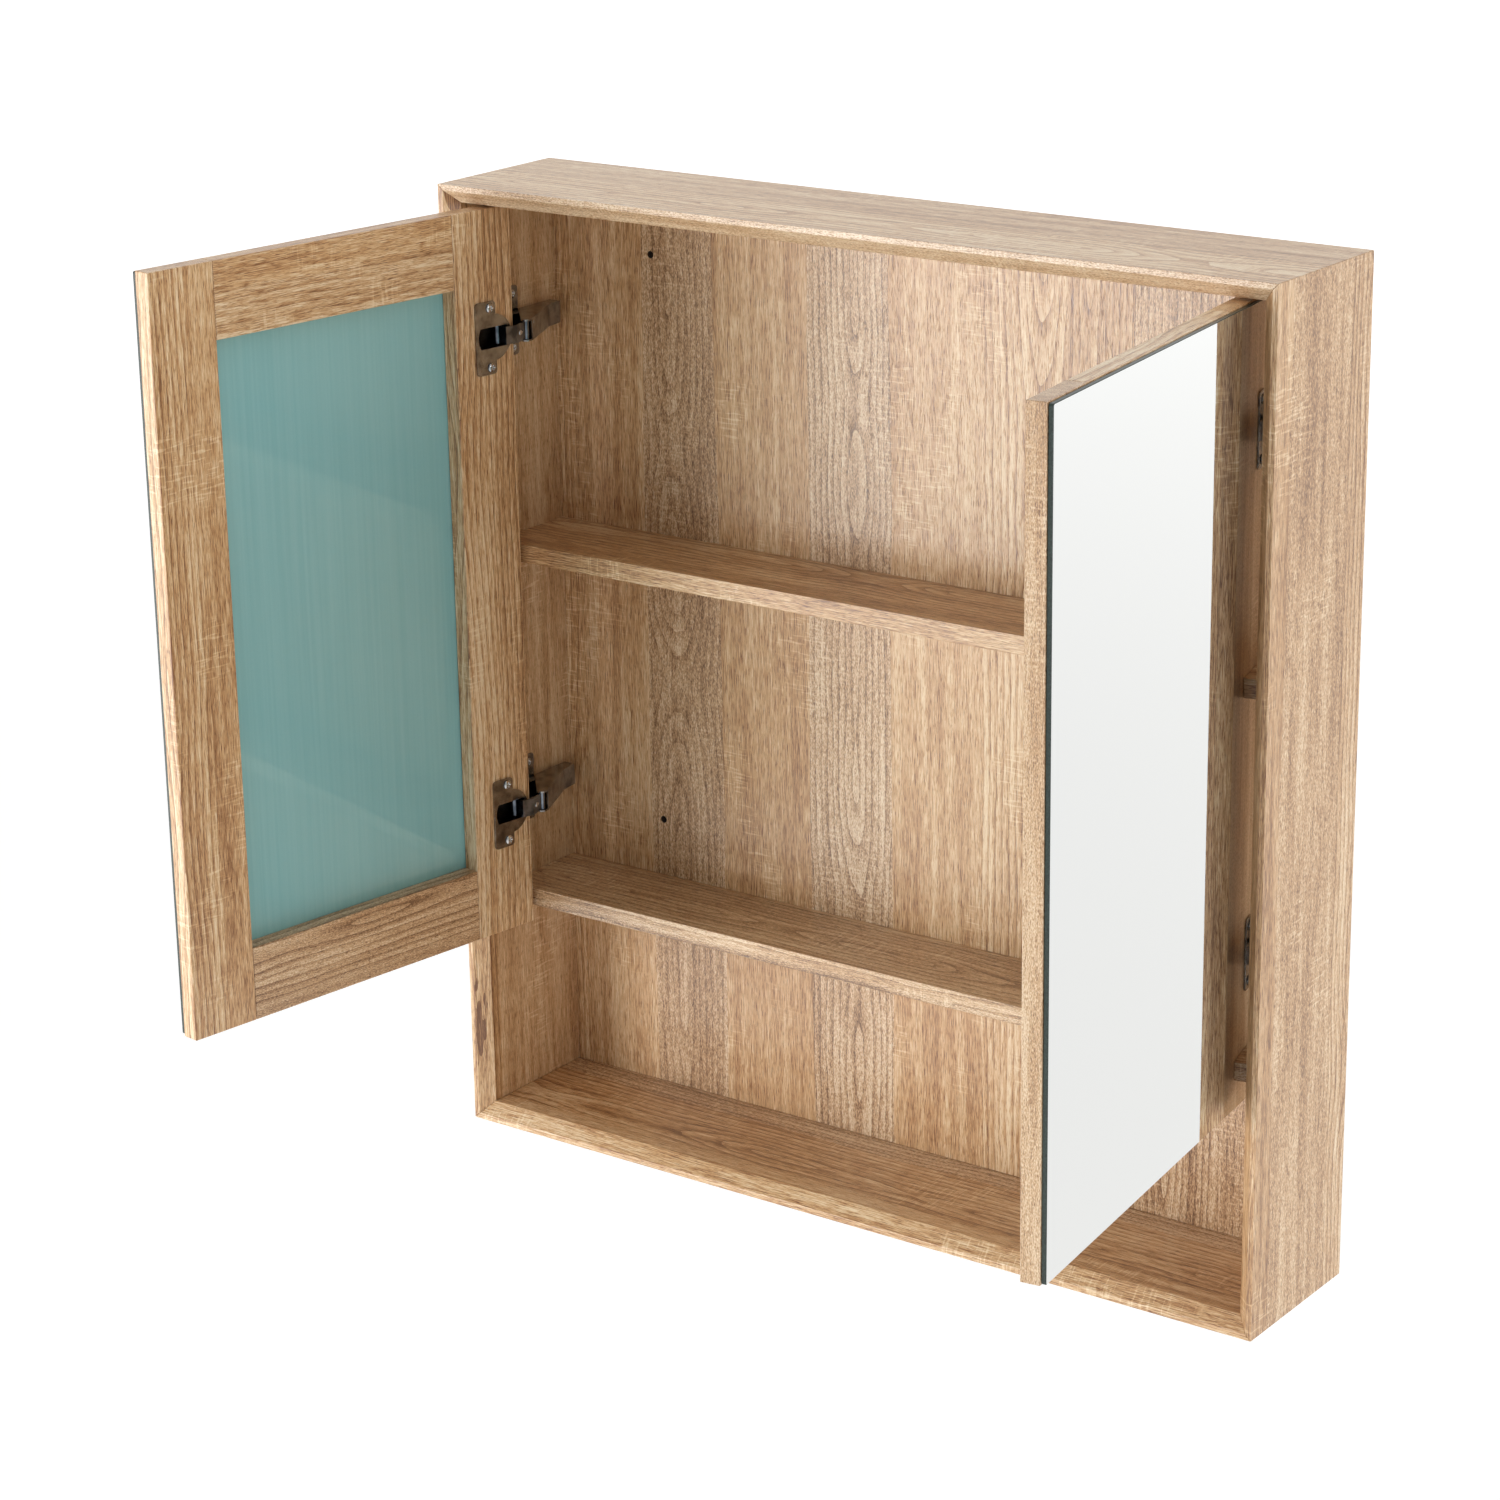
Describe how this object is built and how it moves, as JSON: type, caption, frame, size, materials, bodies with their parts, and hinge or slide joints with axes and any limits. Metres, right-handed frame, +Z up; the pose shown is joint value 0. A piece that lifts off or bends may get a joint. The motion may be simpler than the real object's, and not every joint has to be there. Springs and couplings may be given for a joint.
{
  "type": "wall cabinet",
  "caption": "Shallow mitred wood wall cabinet with shelves, an open bottom niche and a pair of framed mirror doors on cup hinges.",
  "frame": {"origin": "centre of the rear face that lies on the wall", "axes": "+Z up, +Y into the wall, so the doors are on the -Y side, +X to the right seen from the front"},
  "size_m": [0.7919, 0.4614, 0.8],
  "materials": {
    "carcass_oak": "light oak foil on board, fine grain, satin",
    "shelf_oak": "light oak foil on board, grain along the shelf, satin",
    "door_oak": "light oak foil on frame members, satin",
    "mirror_glass": "silvered glass with a teal backing coat",
    "hinge_nickel": "nickel plated pressed steel",
    "screw_nickel": "nickel plated steel",
    "pin_zinc": "zinc plated steel"
  },
  "bodies": {
    "carcass": {"back_panel": "carcass_oak", "bottom_panel": "carcass_oak", "left_lower_hinge_arm": "hinge_nickel", "left_lower_hinge_plate": "hinge_nickel", "left_lower_hinge_plate_screw_lower": "screw_nickel", "left_lower_hinge_plate_screw_upper": "screw_nickel", "left_side": "carcass_oak", "left_upper_hinge_arm": "hinge_nickel", "left_upper_hinge_plate": "hinge_nickel", "left_upper_hinge_plate_screw_lower": "screw_nickel", "left_upper_hinge_plate_screw_upper": "screw_nickel", "lower_shelf": "shelf_oak", "right_lower_hinge_arm": "hinge_nickel", "right_lower_hinge_plate": "hinge_nickel", "right_lower_hinge_plate_screw_lower": "screw_nickel", "right_lower_hinge_plate_screw_upper": "screw_nickel", "right_side": "carcass_oak", "right_upper_hinge_arm": "hinge_nickel", "right_upper_hinge_plate": "hinge_nickel", "right_upper_hinge_plate_screw_lower": "screw_nickel", "right_upper_hinge_plate_screw_upper": "screw_nickel", "shelf_pin_front_left": "pin_zinc", "shelf_pin_front_right": "pin_zinc", "shelf_pin_rear_left": "pin_zinc", "shelf_pin_rear_right": "pin_zinc", "top_panel": "carcass_oak", "upper_shelf": "shelf_oak"},
    "left_hinge_links": {"left_lower_hinge_inner_link": "hinge_nickel", "left_lower_hinge_outer_link": "hinge_nickel", "left_upper_hinge_inner_link": "hinge_nickel", "left_upper_hinge_outer_link": "hinge_nickel"},
    "left_door": {"left_door_bottom_rail": "door_oak", "left_door_free_stile": "door_oak", "left_door_hinge_stile": "door_oak", "left_door_mirror": "mirror_glass", "left_door_top_rail": "door_oak", "left_lower_hinge_cup": "hinge_nickel", "left_lower_hinge_cup_screw_lower": "screw_nickel", "left_lower_hinge_cup_screw_upper": "screw_nickel", "left_upper_hinge_cup": "hinge_nickel", "left_upper_hinge_cup_screw_lower": "screw_nickel", "left_upper_hinge_cup_screw_upper": "screw_nickel"},
    "right_hinge_links": {"right_lower_hinge_inner_link": "hinge_nickel", "right_lower_hinge_outer_link": "hinge_nickel", "right_upper_hinge_inner_link": "hinge_nickel", "right_upper_hinge_outer_link": "hinge_nickel"},
    "right_door": {"right_door_bottom_rail": "door_oak", "right_door_free_stile": "door_oak", "right_door_hinge_stile": "door_oak", "right_door_mirror": "mirror_glass", "right_door_top_rail": "door_oak", "right_lower_hinge_cup": "hinge_nickel", "right_lower_hinge_cup_screw_lower": "screw_nickel", "right_lower_hinge_cup_screw_upper": "screw_nickel", "right_upper_hinge_cup": "hinge_nickel", "right_upper_hinge_cup_screw_lower": "screw_nickel", "right_upper_hinge_cup_screw_upper": "screw_nickel"}
  },
  "joints": [
    {"name": "left_link_pivot", "type": "hinge", "parent": "carcass", "child": "left_hinge_links", "pos_m": [-0.327, -0.095, 0.08075], "axis": [0, 0, 1], "range_deg": [-19.8, 1.4]},
    {"name": "left_door_pivot", "type": "hinge", "parent": "left_hinge_links", "child": "left_door", "pos_m": [-0.33593, -0.1205, 0.08075], "axis": [0, 0, 1], "range_deg": [-7.8, 118.2]},
    {"name": "right_link_pivot", "type": "hinge", "parent": "carcass", "child": "right_hinge_links", "pos_m": [0.327, -0.095, 0.08075], "axis": [0, 0, -1], "range_deg": [-19.5, 1.7]},
    {"name": "right_door_pivot", "type": "hinge", "parent": "right_hinge_links", "child": "right_door", "pos_m": [0.33606, -0.12045, 0.08075], "axis": [0, 0, -1], "range_deg": [-9.6, 116.4]}
  ],
  "couplings": [
    {"joint": "left_link_pivot", "follows": "left_door_pivot", "ratio": -0.16667},
    {"joint": "right_link_pivot", "follows": "right_door_pivot", "ratio": -0.16667}
  ]
}
